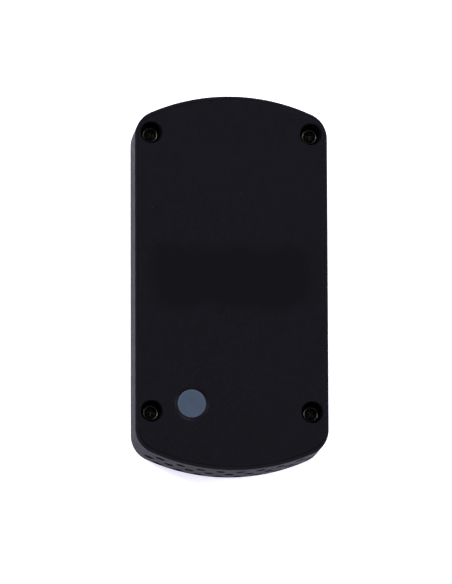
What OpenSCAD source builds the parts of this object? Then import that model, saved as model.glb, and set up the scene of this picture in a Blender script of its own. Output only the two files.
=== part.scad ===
// Handheld electronic game caller, lying on its front with the screwed back cover up.
// The origin is the middle of the resting face. As the back is seen, +X is to the right and
// +Y to the top end; +Z comes out of the back cover. All sizes are in millimetres.

/* [Body] */
// Overall width
body_w = 66; // [62:1:72]
// Overall length, end to end
body_l = 129; // [124:1:140]
// Overall thickness, front to back
body_h = 25; // [24.5:0.5:30]
// Radius of the two curved ends
end_r = 67.5; // [64:0.5:76]
// Radius of the four corners in plan
corner_r = 9; // [8:0.5:10]
// Radius of the rounded edge round the front
front_edge_r = 5; // [3:0.5:6]
// Thickness of the side walls
wall_t = 2.4; // [2:0.1:2.8]
// Thickness of the front wall
front_t = 2.8; // [2.4:0.1:3.2]

/* [Back cover] */
// Width of the shell's rim that stands round the cover
rim_w = 1.15; // [0.9:0.05:1.3]
// Thickness of the cover plate
cover_t = 2.5; // [2:0.1:3]
// Gap between the cover's edge and the rim
cover_gap = 0.1; // [0.05:0.05:0.2]
// Rounding of the cover's upper edge
cover_edge_r = 0.5; // [0.2:0.1:0.8]
// Thickness of the sealing ring under the cover
gasket_t = 0.5; // [0.4:0.1:0.8]

/* [Cover screws] */
// Diameter of the deep screw holes
screw_hole_d = 7.5; // [6.5:0.1:7.8]
// Depth of the screw heads below the back
head_depth = 5; // [4:0.5:6]
// Diameter of a screw head
head_d = 5; // [4.5:0.1:5.6]
// Thread diameter of the screws
screw_d = 2.5; // [2:0.5:3]
// Length of the screws under the head
screw_l = 8; // [6:0.5:9]
// Distance of the screws from the sides
screw_side = 5.6; // [5.4:0.1:6.5]
// Distance of the top pair from the top end
screw_top = 12.8; // [12.5:0.1:14]
// Distance of the bottom pair from the bottom end
screw_bottom = 20.1; // [18:0.1:22]

/* [Back button] */
// Diameter of the round button cap
button_d = 9.8; // [8:0.1:10.5]
// Distance of the button from the left side
button_side = 19.3; // [18.5:0.1:22]
// Distance of the button from the bottom end
button_bottom = 22.7; // [21:0.1:25]
// Travel of the button and of the keys
key_travel = 0.7; // [0.4:0.1:1]
// Width of the sloped surround of the button
surround_w = 0.9; // [0.5:0.1:1.2]
// Depth of the cap's top below the back
button_sink = 0.3; // [0:0.1:0.6]

/* [Vents] */
// Diameter of the round sound holes
vent_d = 3.2; // [2:0.1:3.6]
// Distance between neighbouring sound holes
vent_pitch = 6.86; // [6:0.01:7]
// Depth of the first row of end holes below the back
vent_row_z = 6.2; // [5.5:0.1:7]

/* [Keys] */
// Width of a key
key_w = 11; // [9:0.5:12]
// Height of a key
key_h = 8.5; // [7:0.5:9.5]
// Distance between key columns
key_pitch_x = 15; // [14:0.5:16]
// Distance between key rows
key_pitch_y = 12.5; // [12:0.5:13]
// Gap round a key in its opening
key_gap = 0.25; // [0.15:0.05:0.4]
// Depth of the key field below the front face
field_depth = 0.8; // [0.6:0.1:1]

/* [Speaker] */
// Diameter of the loudspeaker's flange
speaker_d = 45; // [40:1:46]
// Height of the loudspeaker
speaker_h = 13; // [11:0.5:13]
// Distance of its centre from the bottom end
speaker_end = 31.5; // [30:0.5:32]

/* [Power and sockets] */
// Length of the battery pack
battery_l = 50; // [40:1:54]
// Width of the battery pack
battery_w = 34; // [28:1:36]
// Thickness of the battery pack
battery_t = 6; // [4:0.5:6.5]
// Bore of the audio socket
jack_bore_d = 3.6; // [3.55:0.05:3.7]
// Distance of the audio socket from the middle
jack_x = 12; // [11:0.5:14]
// Slack of the rubber plug in its opening
plug_gap = 0.15; // [0.1:0.05:0.25]

/* [Hidden] */
$fn = 96;

// How far a cutting solid runs past the face that it cuts
past = 0.5;
// Joined solids run this far into each other
bite = 0.1;
// Radial slack of pressed or threaded pieces
snug = 0.02;
// How far the centre of an edge's rounding is moved in, as a share of its radius
edge_back = 0.1;

// The plan outline: two end arcs, four corner arcs tangent to them, and straight sides
half_w = body_w / 2;
half_l = body_l / 2;
corner_x = half_w - corner_r;
end_y = half_l - end_r;
corner_y = end_y + sqrt(pow(end_r - corner_r, 2) - pow(corner_x, 2));
corner_a = atan2(corner_y - end_y, corner_x);

// A corner arc joins the same two points as the tangent arc would, from a centre that stands a
// little further in, so that it meets the side and the end at a slight angle
corner_back = 1;
corner_centre = [corner_x - corner_back * cos(corner_a / 2), corner_y - corner_back * sin(corner_a / 2)];
function corner_reach(inset) =
    norm([corner_r - inset + corner_back * cos(corner_a / 2), corner_back * sin(corner_a / 2)]);
// Direction of the line through the centres of an end arc and a corner arc
corner_ray = atan2(corner_centre[1] - end_y, corner_centre[0]);

// Levels of the back, from the top down
cover_z = body_h - cover_t;
ledge_z = cover_z - gasket_t;
head_h = 1.7;
head_bevel = 0.5;
head_top_z = body_h - head_depth;
seat_z = head_top_z - head_h;
boss_floor_t = 1.6;
boss_z = seat_z - boss_floor_t;
insert_l = 5;
insert_d = 4;
pilot_l = 3;
screw_slack = 0.4;
boss_wall = 0.75;
boss_gap = 0.15;
tower_wall = 1.2;
boss_r = screw_hole_d / 2 + boss_wall;
relief_r = boss_r + boss_gap;
tower_r = relief_r + tower_wall;
gasket_clear = 0.15;
// Cross recess of the cover screws and of the small screws
drive_l = 2.7;
drive_w = 0.7;
drive_depth = 1.1;
small_drive_l = 2;
small_drive_w = 0.5;
small_drive_depth = 0.7;
screw_xy = [
    for (x = [-1, 1]) [x * (half_w - screw_side), half_l - screw_top],
    for (x = [-1, 1]) [x * (half_w - screw_side), screw_bottom - half_l]
];

// Sound holes: three staggered rows through the bottom end wall
row_step = vent_pitch * sin(60);
end_rows = [
    [body_h - vent_row_z, 8],
    [body_h - vent_row_z - row_step, 9],
    [body_h - vent_row_z - 2 * row_step, 8]
];
vent_margin = 3;
mesh_t = 0.3;
mesh_margin = 1;

// The key field in the front
field_z = field_depth;
field_edge_r = 4;
key_proud = 0.5;
key_face_z = field_z - key_proud;
key_corner_r = 2;
flange_w = 0.8;
flange_t = 0.8;
stem_d = 3;
keys_top = 26.5;
row_y = [for (i = [0:2]) half_l - keys_top - i * key_pitch_y];
lens_top = 15;
lens_y = half_l - lens_top;
lens_d = 3;
lens_proud = 0.2;
lens_flange_w = 0.7;
field_margin = 4.5;
field_side = 4;
field_top = lens_y + field_margin;
field_bottom = row_y[2] - key_h / 2 - field_margin;
field_w = 2 * key_pitch_x + key_w + 2 * field_side;

// The circuit board behind the keys
board_rise = 4.2;
board_z = front_t + board_rise;
board_t = 1.6;
board_clear = 0.5;
board_side = 0.8;
board_top_z = board_z + board_t;
dome_h = 0.4;
dome_d = 5;
dome_top_d = 3.5;
touch_gap = 0.1;
led_w = 1.6;
led_l = 0.8;
led_h = 0.6;
stem_z = board_z - dome_h - key_travel - touch_gap;
standoff_r = 3;
small_screw_d = 2;
small_head_d = 3.8;
small_head_h = 1.4;
small_slack = 0.3;
board_screw_grip = 3;
clip_screw_grip = 2.2;
blind_depth = 1;

// The loudspeaker, facing the front wall
speaker_y = speaker_end - half_l;
speaker_r = speaker_d / 2;
seal_t = 0.5;
flange_z = front_t + mesh_t + seal_t;
speaker_flange_t = 1;
speaker_flange_top = flange_z + speaker_flange_t;
magnet_r = 15;
basket_h = 6;
plate_z = flange_z + basket_h;
plate_t = 1.2;
plate_step = 0.5;
magnet_top_z = flange_z + speaker_h;
speaker_flange_w = 2.5;
basket_t = 1;
sheet_t = 0.8;
basket_r = speaker_r - speaker_flange_w;
basket_in_r = basket_r - basket_t;
knee_h = 2.8;
knee_z = flange_z + knee_h;
window_w = 7;
window_h = 1.6;
window_rise = 0.7;
neck_r = 6;
neck_lip = 0.6;
hub_r = neck_r + 5;
paper_t = 0.4;
roll_r = 1.8;
roll_rise = 0.6;
roll_z = flange_z + roll_rise;
roll_centre_r = basket_in_r - snug - roll_r;
cone_r = roll_centre_r - roll_r - snug;
coil_t = 0.55;
coil_l = 3;
coil_gap = 0.3;
neck_rise = 1.4;
neck_z = plate_z - neck_rise;
// The dust cap bulges towards the front from the neck of the cone
cap_rise = 2;
cap_ball_r = (pow(neck_r - snug, 2) + pow(cap_rise, 2)) / (2 * cap_rise);
clip_out = 3.2;
clip_r = speaker_r + clip_out;
clip_l = 9;
clip_w = 5.5;
clip_t = 1;
clip_shift = 0.8;
boss_small_r = 2.75;

// What stands on the board, which ends clear of the loudspeaker
board_gap = 2.5;
board_low_y = speaker_y + speaker_r + board_gap;
high_standoff_side = 14;
high_standoff_top = 16.5;
low_standoff_side = 11;
low_standoff_in = 5;
standoff_xy = [
    for (x = [-1, 1]) [x * (half_w - high_standoff_side), half_l - high_standoff_top],
    for (x = [-1, 1]) [x * (half_w - low_standoff_side), board_low_y + low_standoff_in]
];
chip_h = 1;
processor_w = 10;
memory_w = 8;
memory_l = 6;
amplifier_w = 6;
capacitor_d = 6.3;
capacitor_h = 5.4;
capacitor_pitch = 8;
row_in = 8;

// The button on the back and the small board that it works
button_x = button_side - half_w;
button_y = button_bottom - half_l;
button_gap = 0.15;
button_top_z = body_h - button_sink;
button_flange_r = button_d / 2 + 1;
button_flange_z = cover_z - flange_t;
button_bevel = 0.3;
button_stem_l = 1.9;
button_board_drop = 4.5;
button_board_z = cover_z - button_board_drop;
button_board_t = 1;
button_board_l = 20;
button_board_w = 9;
button_post_y = 8.3;
switch_z = button_board_z + button_board_t;
switch_h = cover_z - button_stem_l - key_travel - touch_gap - switch_z;
switch_w = 4.5;
plunger_d = 2.2;
button_led_y = 3.6;
post_d = 3.4;
tiny_screw_d = 1.6;
tiny_head_d = 2.8;
tiny_head_h = 1;
tiny_screw_grip = 2.5;

// Sockets in the top end wall
socket_w = 8.94;
socket_h = 3.26;
socket_l = 7.4;
socket_skin = 0.3;
socket_back = 1;
socket_gap = 0.4;
tongue_w = 6.6;
tongue_l = 5;
tongue_t = 0.7;
socket_z = board_top_z + socket_h / 2;
socket_y = half_l - wall_t - socket_gap;
opening_w = 10;
opening_h = 4.2;
plug_head_w = 13;
plug_head_h = 6.6;
plug_head_t = 1.3;
plug_floor_y = half_l - plug_head_t;
jack_body_w = 6.4;
jack_body_h = 5.4;
jack_body_l = 13;
jack_barrel_d = 5.2;
jack_barrel_l = 2.6;
jack_sink = 0.5;
jack_hole_gap = 0.2;
jack_hole_l = 3;
jack_z = board_top_z + jack_body_h / 2;
jack_front_y = end_y + sqrt(pow(end_r, 2) - pow(jack_x + jack_barrel_d / 2, 2)) - jack_sink;
jack_bore_l = 14;
jack_body_y = jack_front_y - jack_barrel_l;

// The battery under the cover
pad_t = 0.5;
pad_margin = 2;
battery_edge_r = 2;
battery_top = 46.5;
battery_y = half_l - battery_top;
battery_top_z = cover_z - pad_t;

// ---------------------------------------------------------------- plan and section forms

// The plan outline, moved inwards by inset
module outline(inset = 0) difference() {
    square([body_w - 2 * inset, body_l + 2 * past], center = true);
    for (y = [0, 1]) mirror([0, y]) translate([0, end_y]) difference() {
        translate([-body_w, corner_centre[1] - end_y]) square([2 * body_w, end_r]);
        circle(r = end_r - inset, $fn = 360);
    }
    for (x = [0, 1], y = [0, 1]) mirror([x, 0]) mirror([0, y]) translate(corner_centre) difference() {
        corner_wedge();
        circle(r = corner_reach(inset));
    }
}

// The part of the plan that one corner arc bounds, seen from the arc's centre
module corner_wedge() polygon([
    [0, 0], [body_w, 0], [body_w, body_w], [body_w * cos(corner_ray), body_w * sin(corner_ray)]
]);

// What rounding takes off a section whose lower outer corner is at radius r. The arc's centre
// stands a little further in, so that the round meets both faces at a slight angle.
module edge_section(r, edge) {
    back = edge * edge_back;
    difference() {
        translate([r - edge - back, -past]) square(edge + back + past);
        translate([r - edge - back, edge + back]) circle(r = norm([edge + back, back]));
    }
}

// A disc of radius r with its lower edge rounded at z = 0. It runs past both faces of what it trims.
module rounded_disc(r, high, edge) rotate_extrude($fn = 360) difference() {
    translate([0, -past]) square([r, high + 2 * past]);
    edge_section(r, edge);
}

// The plan outline as a solid from z = 0 to high, with its lower edge rounded all round
module rounded_form(inset, high, edge) difference() {
    rotate([90, 0, 0]) linear_extrude(body_l + 2 * past, center = true) difference() {
        translate([inset - half_w, 0]) square([body_w - 2 * inset, high]);
        for (side = [0, 1]) mirror([side, 0]) edge_section(half_w - inset, edge);
    }
    for (y = [0, 1]) mirror([0, y, 0]) translate([0, end_y, 0]) difference() {
        translate([-body_w, corner_centre[1] - end_y, -past / 2]) cube([2 * body_w, end_r, high + past]);
        rounded_disc(end_r - inset, high, edge);
    }
    for (x = [0, 1], y = [0, 1]) mirror([x, 0, 0]) mirror([0, y, 0]) translate(corner_centre) difference() {
        translate([0, 0, -past / 2]) linear_extrude(high + past) corner_wedge();
        rounded_disc(corner_reach(inset), high, edge);
    }
}

// The plan outline as a plain solid
module outline_form(inset, z_low, z_high) {
    translate([0, 0, z_low]) linear_extrude(z_high - z_low) outline(inset);
}

// A rectangle with round corners, centred
module round_rect(w, h, r) {
    square([w, h - 2 * r], center = true);
    square([w - 2 * r, h], center = true);
    for (x = [-1, 1], y = [-1, 1])
        translate([x * (w / 2 - r), y * (h / 2 - r)]) circle(r = r, $fn = 48);
}

// A slot with round ends, its length along X, centred
module slot(w, h) {
    square([w - h, h], center = true);
    for (x = [-1, 1]) translate([x * (w - h) / 2, 0]) circle(d = h, $fn = 48);
}

// Extrudes a section drawn in X and Z along +Y, from y = low to y = high
module along_y(low, high) {
    translate([0, high, 0]) rotate([90, 0, 0]) linear_extrude(high - low) children();
}

// ---------------------------------------------------------------- housing

module front_shell() color([0.12, 0.12, 0.14]) difference() {
    union() {
        difference() {
            rounded_form(0, body_h, front_edge_r);
            outline_form(wall_t, front_t, body_h + past);
        }
        screw_towers();
        for (p = standoff_xy)
            translate([p[0], p[1], front_t - bite]) cylinder(r = standoff_r, h = board_z - front_t + bite);
        at_speaker_clips()
            translate([0, 0, front_t - bite])
                cylinder(r = boss_small_r, h = speaker_flange_top - front_t + bite);
    }
    outline_form(rim_w, ledge_z, body_h + past);
    for (p = screw_xy) translate([p[0], p[1], 0]) {
        translate([0, 0, boss_z]) cylinder(r = relief_r, h = ledge_z - boss_z + past);
        translate([0, 0, boss_z - insert_l]) cylinder(d = insert_d + 2 * snug, h = insert_l + past);
        translate([0, 0, boss_z - insert_l - pilot_l])
            cylinder(d = screw_d + screw_slack, h = pilot_l + past);
    }
    for (p = standoff_xy)
        translate([p[0], p[1], front_t]) cylinder(d = small_screw_d + 2 * snug, h = board_z);
    at_speaker_clips()
        translate([0, 0, front_t - blind_depth]) cylinder(d = small_screw_d + 2 * snug, h = board_z);
    key_field();
    front_vents();
    end_vents();
    top_openings();
}

// Four round towers in the corners: they hold the inserts, and the seal runs round them
module screw_towers() {
    intersection() {
        for (p = screw_xy)
            translate([p[0], p[1], front_t - bite]) cylinder(r = tower_r, h = ledge_z - front_t + bite);
        outline_form(rim_w, front_t - bite, ledge_z);
    }
}

module at_speaker_clips() {
    for (a = [45:90:315])
        translate([0, speaker_y, 0]) rotate([0, 0, a]) translate([clip_r, 0, 0]) children();
}

// The sunk field, and the openings of the keys and of the status lens in it
module key_field() {
    translate([0, (field_top + field_bottom) / 2, -past]) linear_extrude(field_z + past)
        round_rect(field_w, field_top - field_bottom, field_edge_r);
    for (x = [-1:1], row = [0:2]) if (!(x == 0 && row == 2))
        translate([x * key_pitch_x, row_y[row], 0]) linear_extrude(front_t + past)
            round_rect(key_w + 2 * key_gap, key_h + 2 * key_gap, key_corner_r + key_gap);
    translate([0, row_y[2], 0]) cylinder(d = key_h + 2 * key_gap, h = front_t + past);
    translate([0, lens_y, 0]) cylinder(d = lens_d + 2 * snug, h = front_t + past);
}

// Sound holes over the loudspeaker, on the same stagger as those in the end
module front_vents() {
    reach = speaker_r - vent_margin;
    for (j = [-3:3], i = [-4:4]) {
        x = (i + (j % 2 == 0 ? 0 : 0.5)) * vent_pitch;
        y = j * row_step;
        if (norm([x, y]) < reach)
            translate([x, speaker_y + y, -past]) cylinder(d = vent_d, h = front_t + 2 * past, $fn = 24);
    }
}

module end_vents() {
    for (row = end_rows, i = [0:row[1] - 1])
        translate([(i - (row[1] - 1) / 2) * vent_pitch, -half_l - past, row[0]])
            rotate([-90, 0, 0]) cylinder(d = vent_d, h = half_l - corner_y - wall_t / 2, $fn = 24);
}

// The charging opening with the sunk seat of its plug, and the hole for the audio socket
module top_openings() {
    translate([0, 0, socket_z]) {
        along_y(half_l - wall_t - past, half_l + past) slot(opening_w, opening_h);
        along_y(plug_floor_y, half_l + past)
            slot(plug_head_w + 2 * plug_gap, plug_head_h + 2 * plug_gap);
    }
    translate([jack_x, 0, jack_z]) along_y(half_l - wall_t - jack_hole_l, half_l + past)
        circle(d = jack_barrel_d + 2 * jack_hole_gap);
}

module back_cover() color([0.11, 0.11, 0.13]) difference() {
    union() {
        translate([0, 0, body_h]) mirror([0, 0, 1])
            rounded_form(rim_w + cover_gap, cover_t, cover_edge_r);
        intersection() {
            for (p = screw_xy)
                translate([p[0], p[1], boss_z]) cylinder(r = boss_r, h = cover_z - boss_z + bite);
            outline_form(rim_w + cover_gap, boss_z, body_h);
        }
        for (y = [-button_post_y, button_post_y])
            translate([button_x, button_y + y, switch_z]) cylinder(d = post_d, h = cover_z - switch_z + bite);
    }
    for (p = screw_xy) translate([p[0], p[1], 0]) {
        translate([0, 0, seat_z]) cylinder(d = screw_hole_d, h = body_h);
        translate([0, 0, boss_z - past]) cylinder(d = screw_d + screw_slack, h = body_h);
    }
    translate([button_x, button_y, 0]) {
        ring_d = button_d + 2 * button_gap;
        translate([0, 0, cover_z - past]) cylinder(d = ring_d, h = cover_t + 2 * past);
        translate([0, 0, body_h - surround_w])
            cylinder(d1 = ring_d, d2 = ring_d + 2 * (surround_w + past), h = surround_w + past);
        for (y = [-button_post_y, button_post_y]) translate([0, y, switch_z - past])
            cylinder(d = tiny_screw_d + 2 * snug, h = tiny_screw_grip + 2 * past);
    }
}

module cover_gasket() color([0.2, 0.2, 0.2])
    translate([0, 0, ledge_z]) linear_extrude(gasket_t) difference() {
        gasket_edge(rim_w + gasket_clear, relief_r + gasket_clear);
        gasket_edge(wall_t - gasket_clear, tower_r - gasket_clear);
    }

// The outline moved inwards, with a round bay at each screw
module gasket_edge(inset, bay_r) difference() {
    outline(inset);
    for (p = screw_xy) translate(p) circle(r = bay_r);
}

module cover_screws() color([0.3, 0.3, 0.32])
    for (p = screw_xy) translate([p[0], p[1], seat_z]) {
        difference() {
            union() {
                cylinder(d = head_d, h = head_h - head_bevel);
                translate([0, 0, head_h - head_bevel])
                    cylinder(d1 = head_d, d2 = head_d - 2 * head_bevel, h = head_bevel);
            }
            cross_recess(drive_l, drive_w, head_h, drive_depth);
        }
        translate([0, 0, -screw_l]) cylinder(d = screw_d, h = screw_l + bite);
    }

// A cross cut from the top of a head, z = high, down to its depth
module cross_recess(l, w, high, depth) {
    for (a = [0, 90]) rotate([0, 0, a])
        translate([-l / 2, -w / 2, high - depth]) cube([l, w, depth + past]);
}

module threaded_inserts() color([0.78, 0.62, 0.3])
    for (p = screw_xy) translate([p[0], p[1], boss_z - insert_l]) difference() {
        cylinder(d = insert_d, h = insert_l);
        translate([0, 0, -past]) cylinder(d = screw_d + 2 * snug, h = insert_l + 2 * past);
    }

// ---------------------------------------------------------------- button on the back

module back_button() color([0.29, 0.33, 0.41]) translate([button_x, button_y, 0]) {
    rotate_extrude() polygon([
        [0, button_flange_z], [button_flange_r, button_flange_z], [button_flange_r, cover_z],
        [button_d / 2, cover_z], [button_d / 2, button_top_z - button_bevel],
        [button_d / 2 - button_bevel, button_top_z], [0, button_top_z]
    ]);
    translate([0, 0, cover_z - button_stem_l]) cylinder(d = stem_d, h = button_stem_l);
}

module button_board() color([0.1, 0.3, 0.2]) translate([button_x, button_y, button_board_z])
    linear_extrude(button_board_t) difference() {
        round_rect(button_board_w, button_board_l, 1);
        for (y = [-button_post_y, button_post_y]) translate([0, y]) circle(d = tiny_screw_d + small_slack);
    }

module button_switch() color([0.7, 0.7, 0.7]) translate([button_x, button_y, switch_z]) {
    translate([-switch_w / 2, -switch_w / 2, 0]) cube([switch_w, switch_w, switch_h / 2]);
    cylinder(d = plunger_d, h = switch_h);
}

module button_led() color([0.9, 0.92, 1]) led(button_x, button_y + button_led_y, switch_z);

// A small light whose lower face is at z
module led(x, y, z) translate([x - led_w / 2, y - led_l / 2, z]) cube([led_w, led_l, led_h]);

module button_board_screws() color([0.6, 0.6, 0.62])
    for (y = [-button_post_y, button_post_y]) translate([button_x, button_y + y, button_board_z]) {
        translate([0, 0, -tiny_head_h]) cylinder(d = tiny_head_d, h = tiny_head_h);
        translate([0, 0, -bite]) cylinder(d = tiny_screw_d, h = bite + button_board_t + tiny_screw_grip);
    }

// ---------------------------------------------------------------- keys on the front

// What is inside the wall is the same for every key: its flange and its stem
module key_cap(x, y, w, h, r) translate([x, y, 0]) {
    translate([0, 0, key_face_z]) linear_extrude(front_t - key_face_z + bite) round_rect(w, h, r);
    translate([0, 0, front_t]) linear_extrude(flange_t) round_rect(w + 2 * flange_w, h + 2 * flange_w, r);
    cylinder_between(front_t, stem_z, stem_d);
}

module cylinder_between(z_low, z_high, d) translate([0, 0, z_low]) cylinder(d = d, h = z_high - z_low);

// The keys are numbered as they are read from the front, where +X is to the left
module sound_key(number) {
    column = 1 - (number - 1) % 3;
    row = floor((number - 1) / 3);
    color([0.75, 0.75, 0.72]) key_cap(column * key_pitch_x, row_y[row], key_w, key_h, key_corner_r);
}

module volume_key(side) color([0.55, 0.56, 0.56])
    key_cap(side * key_pitch_x, row_y[2], key_w, key_h, key_corner_r);

module power_key() color([0.7, 0.2, 0.15]) translate([0, row_y[2], 0]) {
    cylinder_between(key_face_z, front_t + bite, key_h);
    cylinder_between(front_t, front_t + flange_t, key_h + 2 * flange_w);
    cylinder_between(front_t, stem_z, stem_d);
}

module key_domes() color([0.8, 0.8, 0.78])
    for (x = [-1:1], y = row_y) translate([x * key_pitch_x, y, board_z - dome_h])
        cylinder(d1 = dome_top_d, d2 = dome_d, h = dome_h);

module status_lens() color([0.85, 0.9, 0.95]) translate([0, lens_y, 0]) {
    cylinder_between(field_z - lens_proud, front_t + bite, lens_d);
    cylinder_between(front_t, front_t + flange_t, lens_d + 2 * lens_flange_w);
}

module status_led() color([0.9, 0.9, 0.7]) led(0, lens_y, board_z - led_h);

// ---------------------------------------------------------------- electronics

module circuit_board() color([0.08, 0.32, 0.2]) translate([0, 0, board_z]) linear_extrude(board_t)
    difference() {
        intersection() {
            outline(wall_t + board_side);
            translate([-half_w, board_low_y]) square([body_w, body_l]);
        }
        for (p = screw_xy) translate(p) circle(r = tower_r + board_clear);
        for (p = standoff_xy) translate(p) circle(d = small_screw_d + small_slack);
    }

module board_screws() color([0.6, 0.6, 0.62])
    for (p = standoff_xy) translate([p[0], p[1], board_top_z]) {
        small_screw(board_t + board_screw_grip);
    }

// A small pan-head screw whose seat is at z = 0, pointing down
module small_screw(length) {
    difference() {
        cylinder(d = small_head_d, h = small_head_h);
        cross_recess(small_drive_l, small_drive_w, small_head_h, small_drive_depth);
    }
    translate([0, 0, -length]) cylinder(d = small_screw_d, h = length + bite);
}

module processor_chip() chip(key_pitch_x / 2, row_y[2], processor_w, processor_w);

module memory_chip() chip(-key_pitch_x / 2, row_y[1], memory_w, memory_l);

module amplifier_chip()
    chip(standoff_xy[3][0] - 0.75 * capacitor_pitch, board_low_y + row_in, amplifier_w, amplifier_w);

module chip(x, y, w, l) color([0.06, 0.06, 0.07])
    translate([x - w / 2, y - l / 2, board_top_z]) cube([w, l, chip_h]);

module board_capacitors() color([0.35, 0.36, 0.4])
    for (i = [0.75, 1.75])
        translate([standoff_xy[2][0] + i * capacitor_pitch, board_low_y + row_in, board_top_z])
            cylinder(d = capacitor_d, h = capacitor_h);

module charge_socket() color([0.75, 0.76, 0.78]) translate([0, 0, socket_z]) {
    difference() {
        along_y(socket_y - socket_l, socket_y) slot(socket_w, socket_h);
        along_y(socket_y - socket_l + socket_back, socket_y + past)
            slot(socket_w - 2 * socket_skin, socket_h - 2 * socket_skin);
    }
    translate([-tongue_w / 2, socket_y - socket_l + socket_back - bite, -tongue_t / 2])
        cube([tongue_w, tongue_l, tongue_t]);
}

module port_plug() color([0.1, 0.1, 0.1]) intersection() {
    translate([0, 0, socket_z]) {
        along_y(plug_floor_y, half_l + past) slot(plug_head_w, plug_head_h);
        along_y(half_l - wall_t, plug_floor_y + bite)
            slot(opening_w - 2 * plug_gap, opening_h - 2 * plug_gap);
    }
    outline_form(snug, 0, body_h);
}

module audio_jack() color([0.14, 0.14, 0.15]) difference() {
    union() {
        translate([jack_x - jack_body_w / 2, jack_body_y - jack_body_l, board_top_z])
            cube([jack_body_w, jack_body_l, jack_body_h]);
        translate([jack_x, 0, jack_z]) along_y(jack_body_y - bite, jack_front_y) circle(d = jack_barrel_d);
    }
    translate([jack_x, 0, jack_z]) along_y(jack_front_y - jack_bore_l, jack_front_y + past)
        circle(d = jack_bore_d);
}

module battery_pack() color([0.55, 0.57, 0.6])
    translate([0, battery_y, battery_top_z - battery_t]) linear_extrude(battery_t)
        round_rect(battery_w, battery_l, battery_edge_r);

module battery_pad() color([0.25, 0.25, 0.25])
    translate([0, battery_y, battery_top_z]) linear_extrude(pad_t)
        round_rect(battery_w - 2 * pad_margin, battery_l - 2 * pad_margin, battery_edge_r / 2);

// ---------------------------------------------------------------- loudspeaker

module at_speaker(z) translate([0, speaker_y, z]) children();

module grille_mesh() color([0.05, 0.05, 0.05])
    at_speaker(front_t) cylinder(r = speaker_r, h = mesh_t);

module end_mesh() color([0.05, 0.05, 0.05])
    translate([0, 0, front_t + mesh_margin]) linear_extrude(ledge_z - front_t - 2 * mesh_margin)
        intersection() {
            difference() {
                outline(wall_t);
                outline(wall_t + mesh_t);
                for (p = screw_xy) translate(p) circle(r = tower_r + gasket_clear);
            }
            translate([-half_w, -half_l]) square([body_w, half_l - corner_y]);
        }

module speaker_seal() color([0.2, 0.2, 0.2]) at_speaker(front_t + mesh_t) difference() {
    cylinder(r = speaker_r, h = seal_t);
    translate([0, 0, -past]) cylinder(r = basket_r, h = seal_t + 2 * past);
}

module speaker_frame() color([0.45, 0.46, 0.48]) at_speaker(0) difference() {
    rotate_extrude() polygon([
        [basket_in_r, flange_z], [speaker_r, flange_z], [speaker_r, speaker_flange_top],
        [basket_r, speaker_flange_top], [basket_r, knee_z + sheet_t / 2],
        [magnet_r, plate_z], [hub_r, plate_z], [hub_r, plate_z - sheet_t],
        [magnet_r - sheet_t, plate_z - sheet_t], [basket_in_r, knee_z]
    ]);
    for (a = [0:60:300]) rotate([0, 0, a])
        translate([magnet_r + sheet_t, -window_w / 2, knee_z + window_rise])
            cube([basket_r, window_w, window_h]);
}

module speaker_surround() color([0.08, 0.08, 0.08]) at_speaker(roll_z) rotate_extrude()
    intersection() {
        translate([roll_centre_r, 0]) difference() {
            circle(r = roll_r);
            circle(r = roll_r - paper_t);
        }
        square([speaker_r, roll_r]);
    }

module speaker_cone() color([0.13, 0.13, 0.13]) at_speaker(0) rotate_extrude() polygon([
    [cone_r, roll_z], [cone_r, roll_z + paper_t],
    [neck_r + neck_lip, neck_z + paper_t], [neck_r, neck_z + paper_t], [neck_r, neck_z]
]);

module speaker_dust_cap() color([0.1, 0.1, 0.1]) at_speaker(neck_z) rotate_extrude()
    intersection() {
        translate([0, cap_ball_r - cap_rise]) difference() {
            circle(r = cap_ball_r);
            circle(r = cap_ball_r - paper_t);
        }
        translate([0, -cap_rise]) square([neck_r, cap_rise]);
    }

module voice_coil() color([0.7, 0.4, 0.2]) at_speaker(neck_z + paper_t) difference() {
    cylinder(r = neck_r + coil_t, h = coil_l);
    translate([0, 0, -past]) cylinder(r = neck_r, h = coil_l + 2 * past);
}

module speaker_magnet() color([0.3, 0.3, 0.32]) at_speaker(plate_z) difference() {
    magnet_h = magnet_top_z - plate_z;
    union() {
        cylinder(r = magnet_r, h = plate_t);
        translate([0, 0, plate_t - bite])
            cylinder(r = magnet_r - 2 * plate_step, h = magnet_h - 2 * plate_t + 2 * bite);
        translate([0, 0, magnet_h - plate_t]) cylinder(r = magnet_r - plate_step, h = plate_t);
    }
    translate([0, 0, -past]) difference() {
        cylinder(r = neck_r + coil_t + coil_gap, h = coil_l + past);
        translate([0, 0, -past]) cylinder(r = neck_r - coil_gap, h = coil_l + 3 * past);
    }
}

module speaker_clips() color([0.6, 0.6, 0.62]) at_speaker_clips()
    translate([0, 0, speaker_flange_top]) difference() {
        translate([-clip_l / 2 - clip_shift, -clip_w / 2, 0]) cube([clip_l, clip_w, clip_t]);
        translate([0, 0, -past]) cylinder(d = small_screw_d + small_slack, h = clip_t + 2 * past);
    }

module speaker_screws() color([0.6, 0.6, 0.62]) at_speaker_clips()
    translate([0, 0, speaker_flange_top + clip_t]) small_screw(clip_t + clip_screw_grip);

// ---------------------------------------------------------------- assembly

front_shell();
back_cover();
cover_gasket();
cover_screws();
threaded_inserts();
back_button();
button_board();
button_switch();
button_led();
button_board_screws();
sound_key(1);  // sound_key_1
sound_key(2);  // sound_key_2
sound_key(3);  // sound_key_3
sound_key(4);  // sound_key_4
sound_key(5);  // sound_key_5
sound_key(6);  // sound_key_6
volume_key(1);  // volume_down_key
power_key();
volume_key(-1);  // volume_up_key
key_domes();
status_lens();
status_led();
circuit_board();
board_screws();
processor_chip();
memory_chip();
amplifier_chip();
board_capacitors();
charge_socket();
port_plug();
audio_jack();
grille_mesh();
end_mesh();
speaker_seal();
speaker_frame();
speaker_surround();
speaker_cone();
speaker_dust_cap();
voice_coil();
speaker_magnet();
speaker_clips();
speaker_screws();
battery_pack();
battery_pad();
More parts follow.
